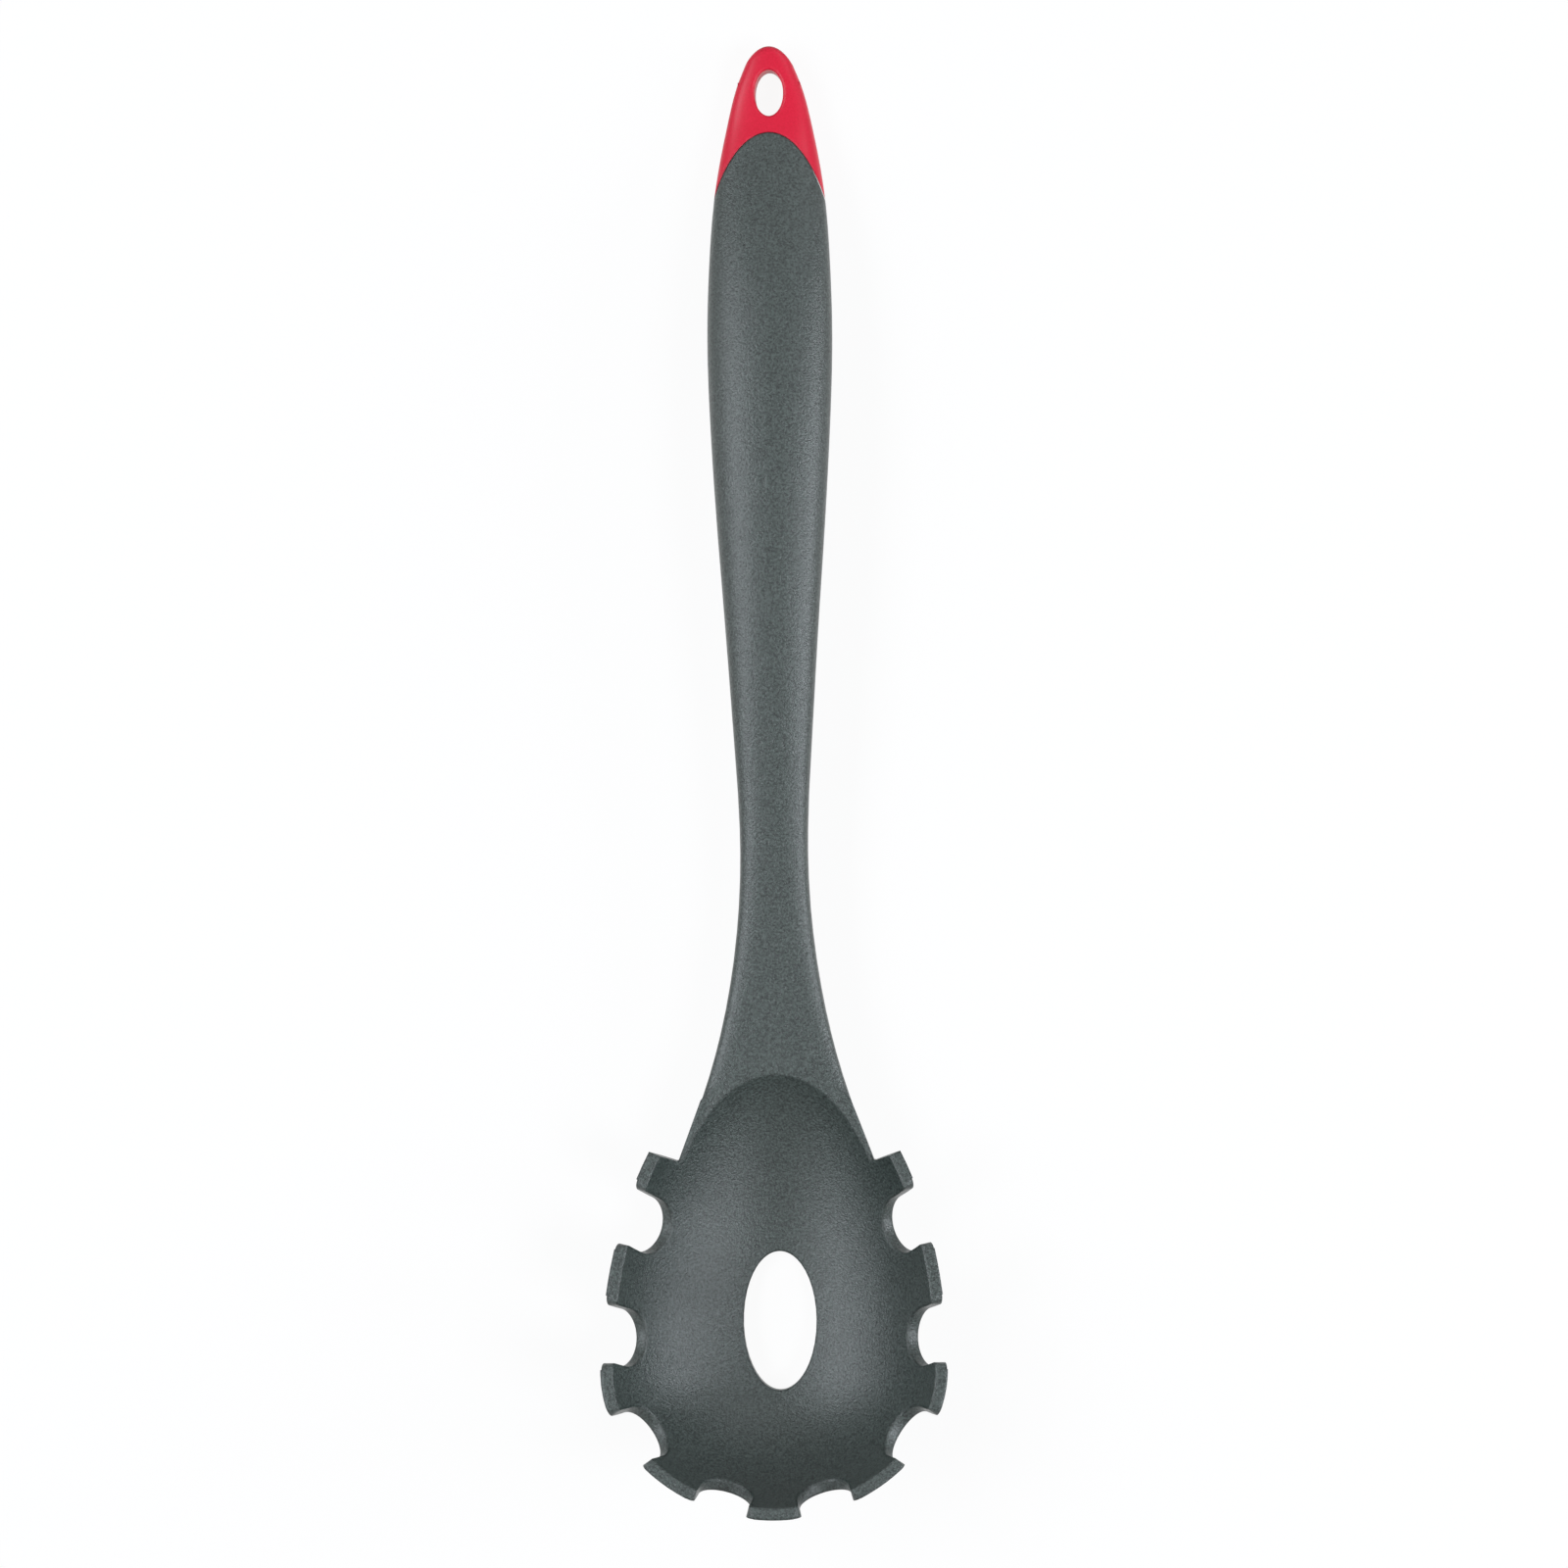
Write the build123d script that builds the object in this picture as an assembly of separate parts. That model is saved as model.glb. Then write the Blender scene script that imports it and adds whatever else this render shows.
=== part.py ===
from build123d import *
import math
import os

# Pasta server: one grey moulding from grip to teeth, a back shell for the grip and a red hanging tip.
# It lies on its back: +Z is up out of the bowl, +Y runs along the handle to the tip, X is across.
# The origin is at the bottom centre of the whole object's box. Millimetres and degrees.

# Overall sizes
overall_length = 303.1
grip_width = 25.95
grip_thickness = 16.4
wall = 2.4

# Bowl: half an egg lying along the handle, tipped up at the toe. Levels are heights above the
# egg's lowest line, measured square to the tipped rim
bowl_radius = 34.5
bowl_toe_reach = 29.5
bowl_neck_reach = 66.0
head_tilt = 12.5
deck_rise = 7.8
tooth_level = 24.4
round_share = 0.5523
toe_point_share = 0.50

# Gaps between the teeth, from the neck to the toe: where each one sits, as a turn round the rim
# from straight across, below zero towards the neck, then its width as a share of the bowl's radius
# and the level of its bottom as a share of the teeth's level
gap_shares = (
    (-31.8, 11.7 / 34.5, 13.5 / 24.4),
    (-7.3, 11.9 / 34.5, 13.6 / 24.4),
    (27.9, 11.9 / 34.5, 13.0 / 24.4),
    (71.0, 11.0 / 34.5, 13.9 / 24.4),
)
tooth_corner = 1.7
corner_lift = 0.15

# Shoulders, where the neck's flare meets the first teeth, whose ends slope back up beside it
flare_start_setback = 88.3
flare_start_width = 28.0
flare_angle = 20.5
shoulder_setback = 71.6
shoulder_width = 41.4
shoulder_angle = 24.0

# Drain slot in the bowl's floor, measured from the toe
drain_width = 15.3
drain_length = 28.7
drain_setback = 37.5

# Handle, from the tip to the neck: place along its length, then width as a share of the grip's
# width, thickness and middle height as shares of its thickness, and fullness of the section's
# corners, which is 0.55 in an ellipse. The first row lies past the tip, where the nose is cut
neck_setback = 73.1
station_shares = (
    (-0.002, 0.310, 0.33, 0.215, 0.81),
    (0.013, 0.358, 0.38, 0.215, 0.84),
    (0.033, 0.500, 0.42, 0.218, 0.87),
    (0.067, 0.664, 0.43, 0.230, 0.87),
    (0.100, 0.784, 0.52, 0.285, 0.81),
    (0.133, 0.877, 0.65, 0.360, 0.75),
    (0.200, 0.970, 0.89, 0.520, 0.67),
    (0.267, 1.000, 1.00, 0.630, 0.61),
    (0.333, 0.968, 1.01, 0.700, 0.61),
    (0.400, 0.904, 0.96, 0.735, 0.61),
    (0.467, 0.823, 0.88, 0.745, 0.63),
    (0.533, 0.737, 0.785, 0.735, 0.65),
    (0.600, 0.659, 0.685, 0.710, 0.69),
    (0.667, 0.580, 0.595, 0.675, 0.74),
    (0.733, 0.544, 0.520, 0.640, 0.80),
    (0.800, 0.609, 0.465, 0.608, 0.86),
    (0.867, 0.785, 0.435, 0.588, 0.95),
    (0.933, 1.080, 0.360, 0.630, 1.00),
    (1.000, 1.440, 0.240, 0.692, 1.00),
)
nose_width = 18.8
nose_length_share = 26 / 230
nose_reach_share = 5 / 230
end_round = 1.4

# Grip shells: the grey halves end in the same dome over the tip
dome_setback = 18.3
dome_length = 41.5
dome_width = 30.8
back_length = 112.0
back_end_length = 16.0
seam_gap = 0.1
seam_share = 0.8
hollow_shares = (0.13, 0.54)

# Tang of the tip, held between the shells, and the posts that pin it and close the grip
tang_width = 13.0
tang_thickness = 4.0
tang_shares = (0.03, 0.21)
post_radius = 2.0
boss_radius = 3.6
post_depth = 1.5
post_clearance = 0.1
post_setbacks = (28.5, 40.5, 74.0, 102.0)

# Hanging eye
eye_width = 6.0
eye_length = 9.6
eye_setback = 9.9
eye_round = 0.6

# Lengths that carry every cut clear through the piece
cut_overrun = 60.0
reach = 2 * cut_overrun

handle_length = overall_length - neck_setback
nose_length = handle_length * nose_length_share
nose_reach = handle_length * nose_reach_share


def spot(share):
    """Distance along Y of a place given as a share of the handle's length from the tip."""
    return overall_length / 2 - handle_length * share


def from_tip(setback):
    """Distance along Y of a place measured back from the tip."""
    return overall_length / 2 - setback


def from_toe(setback):
    """Distance along Y of a place measured up from the toe."""
    return setback - overall_length / 2


def egg(grow):
    """The bowl's egg, lying along Y with its lowest line through the origin, grown all round."""
    radius = bowl_radius + grow
    toe = bowl_toe_reach + grow
    neck = bowl_neck_reach + grow
    toe_turn = (toe_point_share * radius, -toe), (radius, -round_share * toe)
    neck_turn = (radius, round_share * neck), (round_share * radius, neck)
    toe_curve = Bezier((0, -toe), *toe_turn, (radius, 0))
    neck_curve = Bezier((radius, 0), *neck_turn, (0, neck))
    axis = Line((0, neck), (0, -toe))
    turned = revolve(make_face(toe_curve + neck_curve + axis), Axis.Y, 180)
    return Pos(0, 0, bowl_radius) * turned


def section(row, inset):
    """One cross-section of the handle, of four quarter curves across Y, drawn in by the inset."""
    share, width_share, thick_share, mid_share, full = row
    half_width = grip_width * width_share / 2 - inset
    half_thick = grip_thickness * thick_share / 2 - inset
    middle = grip_thickness * mid_share
    right = ((1, 0), (1, full), (full, 1), (0, 1), (-full, 1), (-1, full))
    left = tuple((-across, -up) for across, up in right)
    rim = right + left + right[:1]
    points = [(half_width * across, spot(share), middle + half_thick * up) for across, up in rim]
    return make_face([Bezier(*points[start : start + 4]) for start in range(0, len(right + left), 3)])


def block(x_size, y_low, y_high, z_low, z_high):
    """A box centred across X, between two places along Y and two heights."""
    middle = Pos(0, (y_low + y_high) / 2, (z_low + z_high) / 2)
    return middle * Box(x_size, y_high - y_low, z_high - z_low)


# Head frame: its own Y runs to the handle and down, its own Z out of the bowl
tilt = math.radians(head_tilt)
outer_radius = bowl_radius + wall
toe_share = math.sqrt(1 - ((bowl_radius - tooth_level) / outer_radius) ** 2)
toe_edge = (bowl_toe_reach + wall) * toe_share
head_y = toe_edge * math.cos(tilt) - tooth_level * math.sin(tilt) - overall_length / 2
egg_drop = math.hypot((bowl_neck_reach + wall) * math.sin(tilt), outer_radius * math.cos(tilt))
head_z = egg_drop - bowl_radius * math.cos(tilt)
head_plane = Plane(origin=(0, head_y, head_z), x_dir=(1, 0, 0), z_dir=(0, math.sin(tilt), math.cos(tilt)))
head = Location(head_plane)
deck = head_z + deck_rise
shoulder = from_toe(shoulder_setback)


def rim_place(turn, level, side):
    """A point of the bowl's inner wall and the wall's outward direction there, in the head frame."""
    half = math.sqrt(bowl_radius**2 - (bowl_radius - level) ** 2)
    length = bowl_toe_reach if turn > 0 else bowl_neck_reach
    across = half * math.cos(math.radians(turn))
    along = length * half / bowl_radius * math.sin(math.radians(turn))
    point = Vector(side * across, -along, level)
    normal = Vector(side * across, -along * (bowl_radius / length) ** 2, level - bowl_radius)
    return point, normal.normalized()


def gap_tool(turn, width, level, side):
    """A slot square to the wall, round at the bottom, with the teeth's corners rounded at its mouth."""
    low, low_normal = rim_place(turn, level, side)
    rise = width / 2 * math.hypot(low_normal.X, low_normal.Y)
    middle, normal = rim_place(turn, level + rise, side)
    up = (Vector(0, 0, 1) - normal * normal.Z).normalized()
    plane = Plane(origin=middle, x_dir=up, z_dir=normal)
    corner = (tooth_level - middle.Z) / up.Z - tooth_corner + corner_lift
    slot = Circle(width / 2) + Pos(cut_overrun / 4, 0) * Rectangle(cut_overrun / 2, width)
    mouth = Pos(corner + cut_overrun / 4, 0) * Rectangle(cut_overrun / 2, width + 2 * tooth_corner)
    for edge in (-1, 1):
        mouth -= Pos(corner, edge * (width / 2 + tooth_corner)) * Circle(tooth_corner)
    return head * (plane * extrude(slot + mouth, wall * 4, both=True))


# Handle as one outer form, from the tip to the neck
def handle_form(first, last, inset):
    """The handle's form between two shares of the length, drawn in by the inset all round."""
    rows = [row for row in station_shares if first <= row[0] <= last]
    return loft([section(row, inset) for row in rows])


def past_shoulder(low, high):
    """The space on the neck's side of the first teeth, whose ends slope away from the notches."""
    half = shoulder_width / 2
    slope = (reach - half) * math.tan(math.radians(shoulder_angle))
    far = shoulder + reach
    right = ((half, shoulder), (reach, shoulder + slope), (reach, far))
    left = tuple((-x, y) for x, y in reversed(right))
    return Pos(0, 0, low) * extrude(make_face(Polyline(*right, *left, close=True)), high - low)


def beside_neck(side):
    """What lies outside the neck's straight flare, on the neck's side of the first teeth."""
    start = Pos(side * flare_start_width / 2, from_toe(flare_start_setback))
    slab = Pos(side * reach / 2, 0) * Box(reach, reach, reach)
    return (start * Rot(0, 0, side * flare_angle) * slab) & past_shoulder(-reach, reach)


# The tip's end is trimmed to a rounded nose, seen from above, and its edges are softened
first, last = station_shares[0][0], station_shares[-1][0]
nose = Pos(0, from_tip(nose_length)) * Ellipse(nose_width / 2, nose_length)
end = block(cut_overrun, from_tip(nose_reach), from_tip(-nose_reach), -cut_overrun, cut_overrun)
handle = handle_form(first, last, 0) - (end - extrude(nose, cut_overrun, both=True))
nose_edges = [edge for edge in handle.edges() if edge.bounding_box().min.Y > from_tip(nose_reach)]
handle = fillet(nose_edges, end_round)

# Bowl and neck as one solid, trimmed to the deck, the teeth's level and the neck's outline
outer = head * egg(wall)
inner = head * egg(0)
above_teeth = head * block(2 * reach, -reach, reach, tooth_level, tooth_level + reach)
bowl = outer - above_teeth - past_shoulder(deck, deck + reach)
for side in (-1, 1):
    bowl -= beside_neck(side)
body = bowl + handle
body -= inner
for turn, width_share, level_share in gap_shares:
    for side in (-1, 1):
        body -= gap_tool(turn, bowl_radius * width_share, tooth_level * level_share, side)
drain = Pos(0, from_toe(drain_setback)) * Ellipse(drain_width / 2, drain_length / 2)
body -= extrude(drain, reach, both=True)


# Grip: the front shell belongs to the body, the back shell closes it from below
side_plane = Plane(origin=(0, 0, 0), x_dir=(0, 1, 0), z_dir=(1, 0, 0))
dome_y = from_tip(dome_setback + dome_length)
back_y = from_tip(dome_setback + back_length - back_end_length)


def dome_prism(grow):
    """The dome's outline over the tip, standing through the whole grip."""
    outline = Ellipse(dome_width / 2 + grow, dome_length + grow)
    return Pos(0, dome_y) * extrude(outline, cut_overrun, both=True)


def past_dome(grow):
    """Everything on the tip's side of the dome."""
    return block(reach, dome_y, dome_y + reach, -cut_overrun, cut_overrun) - dome_prism(grow)


def under_seam(lift):
    """Everything under the middle line of the grip, which the seam follows, raised by the lift."""
    rows = [row for row in station_shares if row[0] < seam_share]
    seam = Spline(*[(spot(row[0]), grip_thickness * row[3] + lift) for row in rows])
    high, low = seam @ 0, seam @ 1
    floor = Polyline(low, (low.X, -cut_overrun), (high.X, -cut_overrun), high)
    return extrude(side_plane * make_face(seam + floor), cut_overrun, both=True)


def back_zone(grow):
    """The space of the back shell: under the seam, between the dome and its own round end."""
    dome = Pos(0, dome_y) * Ellipse(dome_width / 2 + grow, dome_length + grow)
    end = Pos(0, back_y) * Ellipse(dome_width / 2 + grow, back_end_length + grow)
    middle = Pos(0, (dome_y + back_y) / 2) * Rectangle(dome_width + 2 * grow, dome_y - back_y)
    return extrude(dome + middle + end, cut_overrun, both=True) & under_seam(grow)


def grip_at(along):
    """Height of the grip's middle line and half its thickness, at a place along Y."""
    for near, far in zip(station_shares, station_shares[1:]):
        if spot(far[0]) <= along <= spot(near[0]):
            part = (spot(near[0]) - along) / (spot(near[0]) - spot(far[0]))
            middle = near[3] + part * (far[3] - near[3])
            thick = near[2] + part * (far[2] - near[2])
            return grip_thickness * middle, grip_thickness * thick / 2


def tang_form(grow):
    """The tang: a flat tongue that follows the grip's middle line."""
    rows = [row for row in station_shares if tang_shares[0] <= row[0] <= tang_shares[1]]
    half = tang_thickness / 2 + grow
    top = [(spot(row[0]), grip_thickness * row[3] + half) for row in rows]
    low = [(spot(row[0]), grip_thickness * row[3] - half) for row in reversed(rows)]
    outline = make_face(Polyline(*top, *low, close=True))
    return extrude(side_plane * outline, tang_width / 2 + grow, both=True)


def standing(radius, along, low, high):
    """A round post on the grip's centre plane between two heights."""
    return Pos(0, along, (low + high) / 2) * Cylinder(radius, high - low)


hollow = handle_form(*hollow_shares, wall)
pocket = tang_form(seam_gap)

body = body - past_dome(0) - back_zone(seam_gap) - hollow
back = (handle & back_zone(0)) - hollow
for setback in post_setbacks:
    along = from_tip(setback)
    middle, half = grip_at(along)
    rest = middle + tang_thickness / 2
    body += standing(boss_radius, along, rest + seam_gap, middle + half - wall / 2)
body -= pocket
back -= pocket
tip = (handle & past_dome(seam_gap)) + tang_form(0)
for setback in post_setbacks:
    along = from_tip(setback)
    middle, half = grip_at(along)
    top = middle + tang_thickness / 2 + post_depth
    body -= standing(post_radius + post_clearance, along, middle, top)
    back += standing(post_radius, along, middle - half + wall / 2, top)
    tip -= standing(post_radius + post_clearance, along, middle - cut_overrun, middle + cut_overrun)

# Hanging eye through the tip
eye = Pos(0, from_tip(eye_setback)) * Ellipse(eye_width / 2, eye_length / 2)
tip -= extrude(eye, cut_overrun, both=True)
eye_low = from_tip(eye_setback + eye_length / 2 + seam_gap)
eye_high = from_tip(eye_setback - eye_length / 2 - seam_gap)
boxed = [(edge, edge.bounding_box()) for edge in tip.edges()]
inside = [(edge, box) for edge, box in boxed if eye_low < box.min.Y and box.max.Y < eye_high]
tip = fillet([edge for edge, box in inside if box.size.Y > eye_length / 2], eye_round)

pieces = {"server_body": body, "grip_back": back, "hanging_tip": tip}
whole = Compound(children=[piece.solid() for piece in pieces.values()]).bounding_box()
to_origin = Pos(0, -(whole.min.Y + whole.max.Y) / 2, -whole.min.Z)
os.makedirs("parts", exist_ok=True)
for name, piece in pieces.items():
    export_step(to_origin * piece, f"parts/{name}.step")
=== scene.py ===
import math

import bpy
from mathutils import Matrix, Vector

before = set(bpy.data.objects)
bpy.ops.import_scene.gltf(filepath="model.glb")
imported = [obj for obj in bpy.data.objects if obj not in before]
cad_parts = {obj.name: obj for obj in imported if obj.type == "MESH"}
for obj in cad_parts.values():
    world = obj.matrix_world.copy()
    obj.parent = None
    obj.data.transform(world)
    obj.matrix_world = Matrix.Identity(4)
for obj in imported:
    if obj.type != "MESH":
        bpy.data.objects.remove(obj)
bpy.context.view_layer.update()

# %% [markdown]
# # A pasta server, dressed for its photograph
#
# The real thing is a kitchen tool in two colours of plastic: a grey server with a deep, toothed
# bowl, and a red tip with an eye to hang it by. The frame brings in its three mouldings at their
# real size: `server_body`, `grip_back` and `hanging_tip`. All that shows has its shape already, so
# this lesson gives them their finishes, and then their floor, lamps and camera. Lengths are in
# metres, and Z is up out of the bowl.

mm = 0.001

# %% [markdown]
# ## Helpers for materials
#
# Every finish starts the same way: an empty node tree, a Principled shader and its output. Every
# grain is then a noise. It goes straight into a bump, but it keeps mostly near its middle value, so
# it is stretched to a useful range before it drives a colour or a roughness. Written out each time,
# those nodes would hide what is special about a finish. A few short helpers make them, so that each
# finish below reads as a list of its own sizes and colours.

# %% Helper: start a material
def start_finish(name):
    """A new material holding just a Principled shader and its output."""
    finish = bpy.data.materials.new(name)
    finish.use_nodes = True
    tree = finish.node_tree
    tree.nodes.clear()
    shader = tree.nodes.new("ShaderNodeBsdfPrincipled")
    output = tree.nodes.new("ShaderNodeOutputMaterial")
    tree.links.new(shader.outputs["BSDF"], output.inputs["Surface"])
    place = tree.nodes.new("ShaderNodeTexCoord")
    return finish, tree, shader, place.outputs["Object"]


# %% Helpers: a noise, and a value stretched to a range
noise_range = (0.3, 0.7)


def noise(tree, place, grain, grit):
    """A noise with blobs about the given size across, in metres, and some grit of finer ones."""
    node = tree.nodes.new("ShaderNodeTexNoise")
    node.inputs["Scale"].default_value = 1 / grain
    node.inputs["Detail"].default_value = 2
    node.inputs["Roughness"].default_value = grit
    tree.links.new(place, node.inputs["Vector"])
    return node.outputs["Fac"]


def spread(tree, value, seen, wanted=(0, 1)):
    """The value, stretched from the range it is seen in to the one wanted, and held inside it."""
    node = tree.nodes.new("ShaderNodeMapRange")
    tree.links.new(value, node.inputs["Value"])
    node.inputs["From Min"].default_value, node.inputs["From Max"].default_value = seen
    node.inputs["To Min"].default_value, node.inputs["To Max"].default_value = wanted
    return node.outputs["Result"]


# %% Helpers: a colour between two, and a bump
def shade_between(tree, fac, dark, light):
    """A colour that runs from dark to light with a value from 0 to 1."""
    node = tree.nodes.new("ShaderNodeMix")
    node.data_type = "RGBA"
    tree.links.new(fac, node.inputs["Factor"])
    node.inputs["A"].default_value = (*dark, 1)
    node.inputs["B"].default_value = (*light, 1)
    return node.outputs["Result"]


def bumped(tree, height, strength, depth, below):
    """A bump from a height value, laid over the normal below it."""
    node = tree.nodes.new("ShaderNodeBump")
    node.inputs["Strength"].default_value = strength
    node.inputs["Distance"].default_value = depth
    tree.links.new(height, node.inputs["Height"])
    tree.links.new(below, node.inputs["Normal"])
    return node.outputs["Normal"]


# %% Helper: give a piece its finish
def dress(node_name, finish):
    """Put one finish all over a piece of the frame."""
    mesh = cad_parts[node_name].data
    mesh.materials.clear()
    mesh.materials.append(finish)
    print(finish.name, "on", node_name)


# %% [markdown]
# ## Soft edges
#
# A moulding never has a knife edge: each rim of the bowl and each corner of a tooth is rounded by
# up to a millimetre, and catches the lamps as a thin bright line. The solids are sharp there, and
# bevelling so many small faces would be heavy. A Bevel node rounds only the way that light sees
# the edge, which is all that so small a radius needs.

# %% Helper: a rounded edge
def soft_edge(tree, radius):
    """A normal that turns smoothly round every edge, as if it were rounded by the radius."""
    node = tree.nodes.new("ShaderNodeBevel")
    node.samples = 6
    node.inputs["Radius"].default_value = radius
    return node.outputs["Normal"]


# %% [markdown]
# ## Grey nylon with a spark-eroded grain
#
# The server is glass-filled nylon, moulded in a steel tool whose walls were spark-eroded. That
# leaves a fine sand-like grain that scatters light, and here and there a grain catches a lamp and
# sparkles. The grain could be a picture, but noise in the piece's own space has no seams and can
# be scaled to the real size. Two noises make it: one of half a millimetre for the grain that the
# eye sees, and one half as large for the sparkle.

# %% Finish: grey nylon
nylon_grain = 0.48 * mm
nylon_sparkle = 0.24 * mm
nylon_depth = 0.13 * mm
nylon_edge = 1.0 * mm
nylon_grit = 0.6
nylon_speck_range = (0.36, 0.66)
nylon_dark, nylon_light = (0.009, 0.014, 0.013), (0.056, 0.073, 0.066)
nylon_roughness = (0.26, 0.41)
nylon_bump, nylon_sparkle_bump = 1.0, 0.6
nylon_gloss = 0.5


def nylon():
    """Satin grey, grained in colour, in gloss and in height."""
    finish, tree, shader, place = start_finish("grey_nylon")
    coarse = noise(tree, place, nylon_grain, nylon_grit)
    fine = noise(tree, place, nylon_sparkle, nylon_grit)
    speck = spread(tree, coarse, nylon_speck_range)
    tree.links.new(shade_between(tree, speck, nylon_dark, nylon_light), shader.inputs["Base Color"])
    tree.links.new(spread(tree, fine, noise_range, nylon_roughness), shader.inputs["Roughness"])
    grained = bumped(tree, coarse, nylon_bump, nylon_depth, soft_edge(tree, nylon_edge))
    sparkling = bumped(tree, fine, nylon_sparkle_bump, nylon_depth / 2, grained)
    tree.links.new(sparkling, shader.inputs["Normal"])
    shader.inputs["Specular IOR Level"].default_value = nylon_gloss
    return finish


grey_nylon = nylon()
for piece in ("server_body", "grip_back"):
    dress(piece, grey_nylon)

# %% [markdown]
# ## Red tip
#
# The tip is a softer, smoother plastic, so lamps show on it as broad satin glows. It comes from a
# tool with a finer skin, so one shallow noise is enough, and a faint change of red along it keeps
# it from looking like paint.

# %% Finish: red plastic
red_grain = 0.35 * mm
red_depth = 0.03 * mm
red_edge = 0.8 * mm
red_grit = 0.5
red_dark, red_light = (0.54, 0.004, 0.025), (0.62, 0.007, 0.036)
red_roughness = (0.36, 0.44)
red_bump = 0.25
red_gloss = 0.35


def red_plastic():
    """Satin red with a shallow grain."""
    finish, tree, shader, place = start_finish("tip_red")
    grain = noise(tree, place, red_grain, red_grit)
    speck = spread(tree, grain, noise_range)
    tree.links.new(shade_between(tree, speck, red_dark, red_light), shader.inputs["Base Color"])
    tree.links.new(spread(tree, grain, noise_range, red_roughness), shader.inputs["Roughness"])
    grained = bumped(tree, grain, red_bump, red_depth, soft_edge(tree, red_edge))
    tree.links.new(grained, shader.inputs["Normal"])
    shader.inputs["Specular IOR Level"].default_value = red_gloss
    return finish


dress("hanging_tip", red_plastic())

# %% [markdown]
# ## Rays that see the background
#
# A white background could be had with more light, but that would wash out the server too. Cycles
# says what each ray is for, so the table and the surroundings can be white just for the rays that
# show them: those from the camera, in gloss, or through glass. All other rays get the plain light.

# %% Helper: background rays
def background_rays(tree):
    """1 for the rays that show the background: from the camera, in gloss or through glass."""
    rays = tree.nodes.new("ShaderNodeLightPath")
    shown = rays.outputs["Is Camera Ray"]
    for kind in ("Is Glossy Ray", "Is Transmission Ray"):
        either = tree.nodes.new("ShaderNodeMath")
        either.operation = "MAXIMUM"
        tree.links.new(shown, either.inputs[0])
        tree.links.new(rays.outputs[kind], either.inputs[1])
        shown = either.outputs[0]
    return shown


# %% Helper: blend two shaders
def blended(tree, fac, first, second, output_kind):
    """Show the first shader where the value is 0, and the second where it is 1."""
    blend = tree.nodes.new("ShaderNodeMixShader")
    output = tree.nodes.new(output_kind)
    tree.links.new(fac, blend.inputs["Fac"])
    tree.links.new(first, blend.inputs[1])
    tree.links.new(second, blend.inputs[2])
    tree.links.new(blend.outputs["Shader"], output.inputs["Surface"])


# %% [markdown]
# ## Floor
#
# The server lies on a white table that runs out of sight. Paper lit by the lamps alone would come
# out grey and uneven, and paper that only glows would lose the shadow. So the camera sees a mix:
# most of it a plain glow, as pale as the photograph, and the rest lit paper, on which the server
# still throws its shadow. Where no shadow falls, the two add up to about white.

# %% Stage
floor_size = 4.0
floor_grey = 0.40
floor_glow = 1.09
glow_share = 0.85

bpy.ops.object.select_all(action="DESELECT")
bpy.ops.mesh.primitive_plane_add(size=floor_size, location=(0, 0, 0))
floor = bpy.context.object
floor.name = "floor"

paper = bpy.data.materials.new("white_paper")
paper.use_nodes = True
tree = paper.node_tree
tree.nodes.clear()
lit = tree.nodes.new("ShaderNodeBsdfDiffuse")
lit.inputs["Color"].default_value = (floor_grey, floor_grey, floor_grey, 1)
plain = tree.nodes.new("ShaderNodeEmission")
plain.inputs["Color"].default_value = (1, 1, 1, 1)
plain.inputs["Strength"].default_value = floor_glow
seen = tree.nodes.new("ShaderNodeMath")
seen.operation = "MULTIPLY"
seen.inputs[1].default_value = glow_share
tree.links.new(background_rays(tree), seen.inputs[0])
glow = plain.outputs["Emission"]
blended(tree, seen.outputs[0], lit.outputs["BSDF"], glow, "ShaderNodeOutputMaterial")
floor.data.materials.append(paper)
print("floor, m:", floor_size)

# %% [markdown]
# ## Lamps
#
# The shading in the photograph says where the light came from: from both sides, low and half high,
# and most of it from a long lamp on the left, which draws a bright line down the grip. A guess by
# eye is slow to mend, so the server was rendered under one lamp at a time, and the strengths that
# add up nearest to the photograph's shading were the start. Then the high left lamp was made longer
# and stronger, one small lamp was taken away, and the rest were changed a little in place or
# strength. Each one faces the server, at a turn round it and a height above the table.
# Under them all, a level grey card renders about a fifth brighter than it is written, and faintly
# blue.

# %% Lamps
lamp_distance = 1.2
lamp_size = 0.4
strip_length = 1.2
lamp_colour = (0.89, 0.935, 1.0)


def soft_box(name, turn, height, power, length=lamp_size):
    """A level lamp facing the server, at a turn round it and a height, both in degrees."""
    level = math.cos(math.radians(height))
    x = level * math.cos(math.radians(turn))
    y = level * math.sin(math.radians(turn))
    place = lamp_distance * Vector((x, y, math.sin(math.radians(height))))
    bpy.ops.object.light_add(type="AREA", location=place)
    lamp = bpy.context.object
    lamp.name = name
    lamp.data.shape = "RECTANGLE"
    lamp.data.size = length
    lamp.data.size_y = lamp_size
    lamp.data.energy = power
    lamp.data.color = lamp_colour
    lamp.rotation_euler = (-place).to_track_quat("-Z", "Y").to_euler()
    print(name, "watts:", power)


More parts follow.
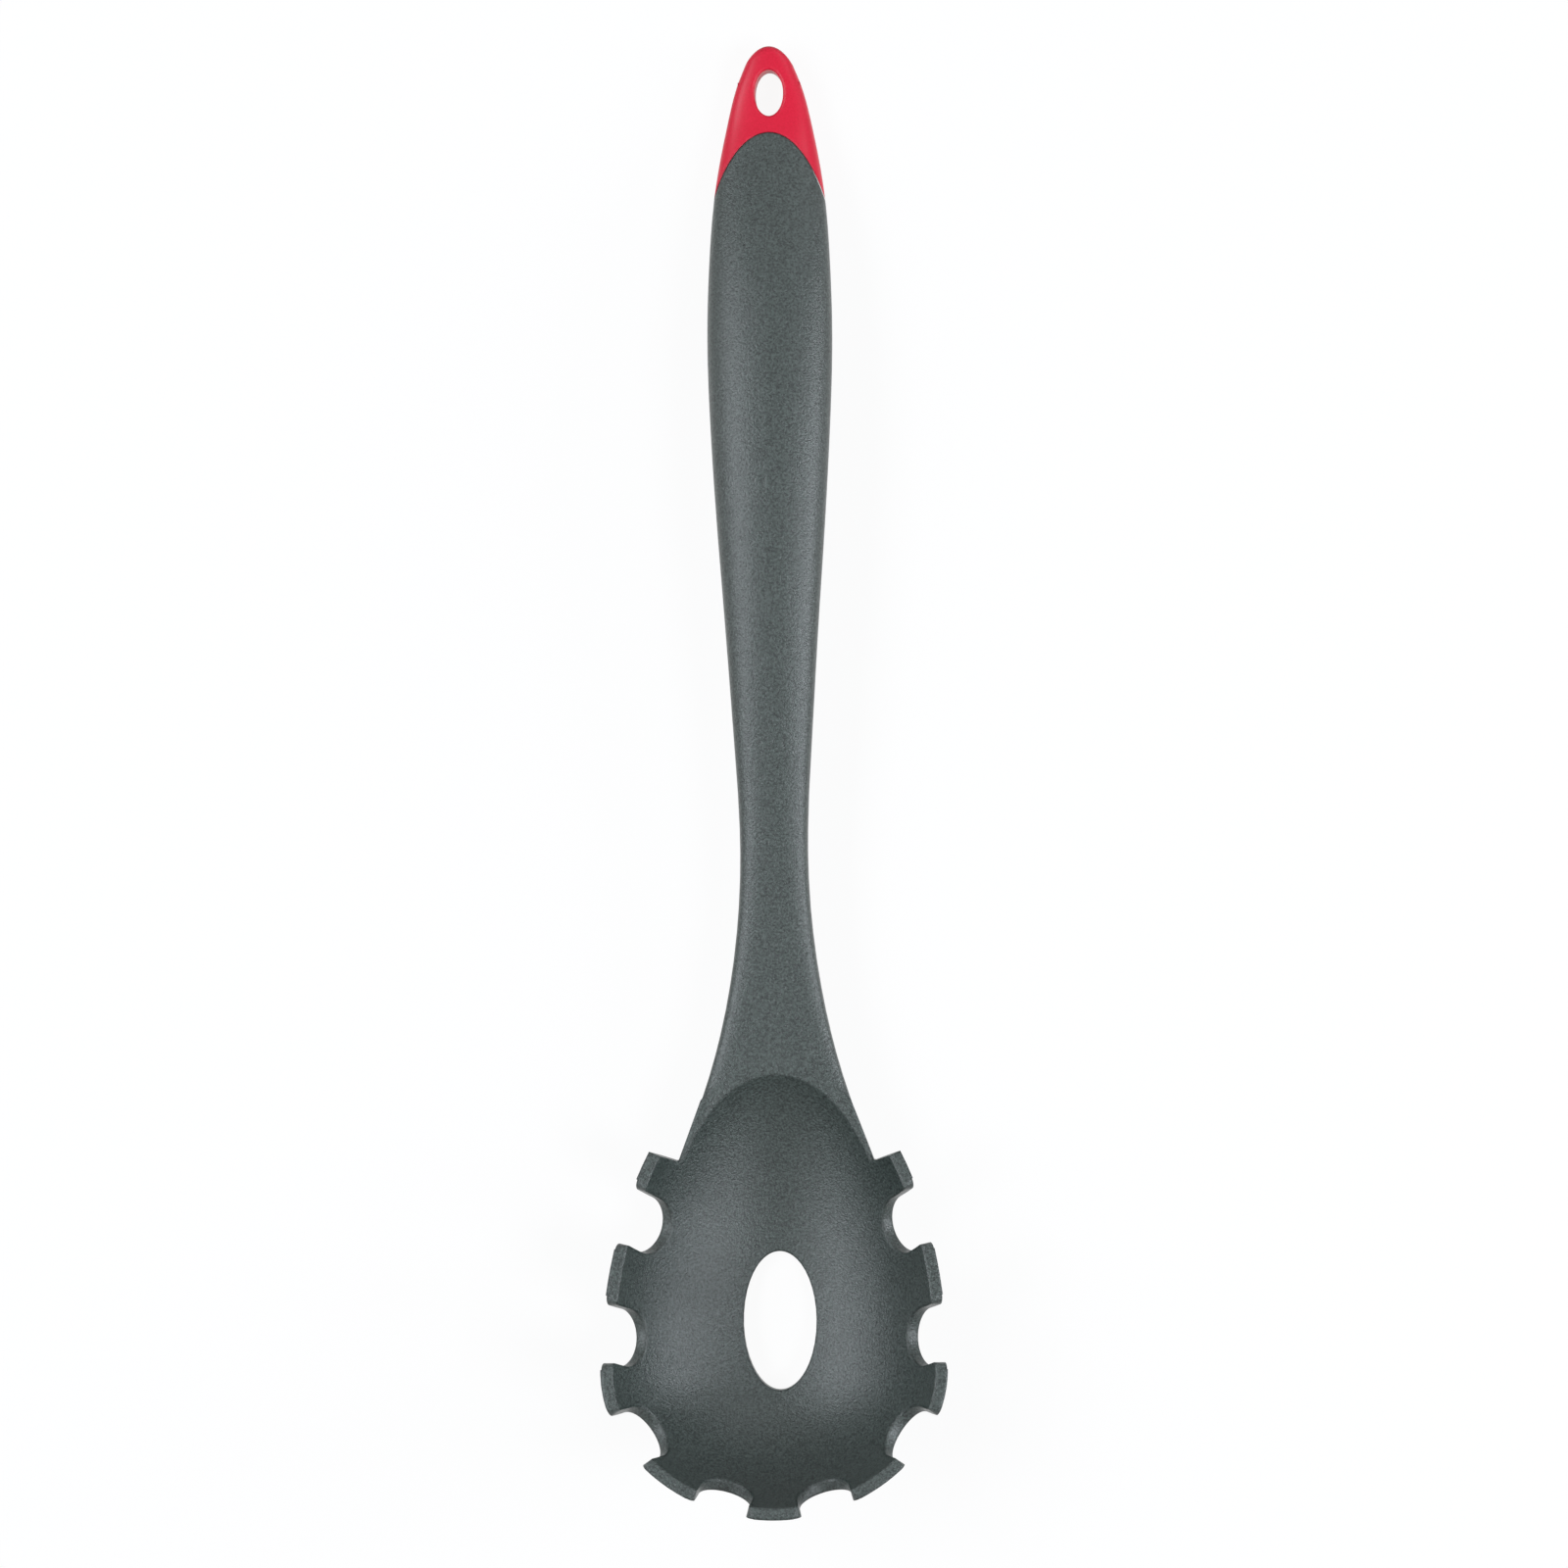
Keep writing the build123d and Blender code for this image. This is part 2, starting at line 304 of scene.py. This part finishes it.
soft_box("left_high_box", 172, 48, 11.6, strip_length)
soft_box("left_low_box", 180, 28, 2.6)
soft_box("right_low_box", 0, 18, 8.7)
soft_box("right_high_box", 335, 50, 6.7)
soft_box("right_tip_box", 60, 36, 1.9)

# %% [markdown]
# ## Surroundings
#
# A studio's walls throw a little light back from all round, which keeps the underside of the bowl
# from going black. In gloss and behind the server they are plain white, like the table.

# %% World
fill_colour, fill_strength = (0.93, 0.97, 1.0), 0.1

world = bpy.data.worlds.new("studio")
bpy.context.scene.world = world
world.use_nodes = True
tree = world.node_tree
tree.nodes.clear()
fill = tree.nodes.new("ShaderNodeBackground")
fill.inputs["Color"].default_value = (*fill_colour, 1)
fill.inputs["Strength"].default_value = fill_strength
white = tree.nodes.new("ShaderNodeBackground")
white.inputs["Color"].default_value = (1, 1, 1, 1)
white.inputs["Strength"].default_value = 1
dim, plain_white = fill.outputs["Background"], white.outputs["Background"]
blended(tree, background_rays(tree), dim, plain_white, "ShaderNodeOutputWorld")
print("fill light:", fill_strength)

# %% [markdown]
# ## Camera
#
# The picture was taken from over the server, a little to its right, and the server lay a touch
# askew in it. The camera could be set by its lens, but a distance is easier to judge: a little
# over a metre, far enough that the raised rim looks hardly larger than it is. The lens then follows
# from the width of the view.

# %% Camera
view_width = 324.26 * mm
camera_distance = 1.1
lean = math.radians(3.0)
roll = math.radians(0.5)
aim = Vector((2.3 * mm, -2.25 * mm, 13.1 * mm))

bpy.ops.object.camera_add()
camera = bpy.context.object
camera.data.sensor_width = 36
camera.data.lens = camera.data.sensor_width * camera_distance / view_width
camera.location = aim + camera_distance * Vector((math.sin(lean), 0, math.cos(lean)))
toward = (aim - camera.location).normalized()
right = toward.cross(Vector((math.sin(roll), math.cos(roll), 0))).normalized()
above = right.cross(toward).normalized()
camera.rotation_euler = Matrix((right, above, -toward)).transposed().to_euler()
bpy.context.scene.camera = camera
bpy.context.scene.view_settings.view_transform = "Standard"
print("lens, mm:", round(camera.data.lens, 1))
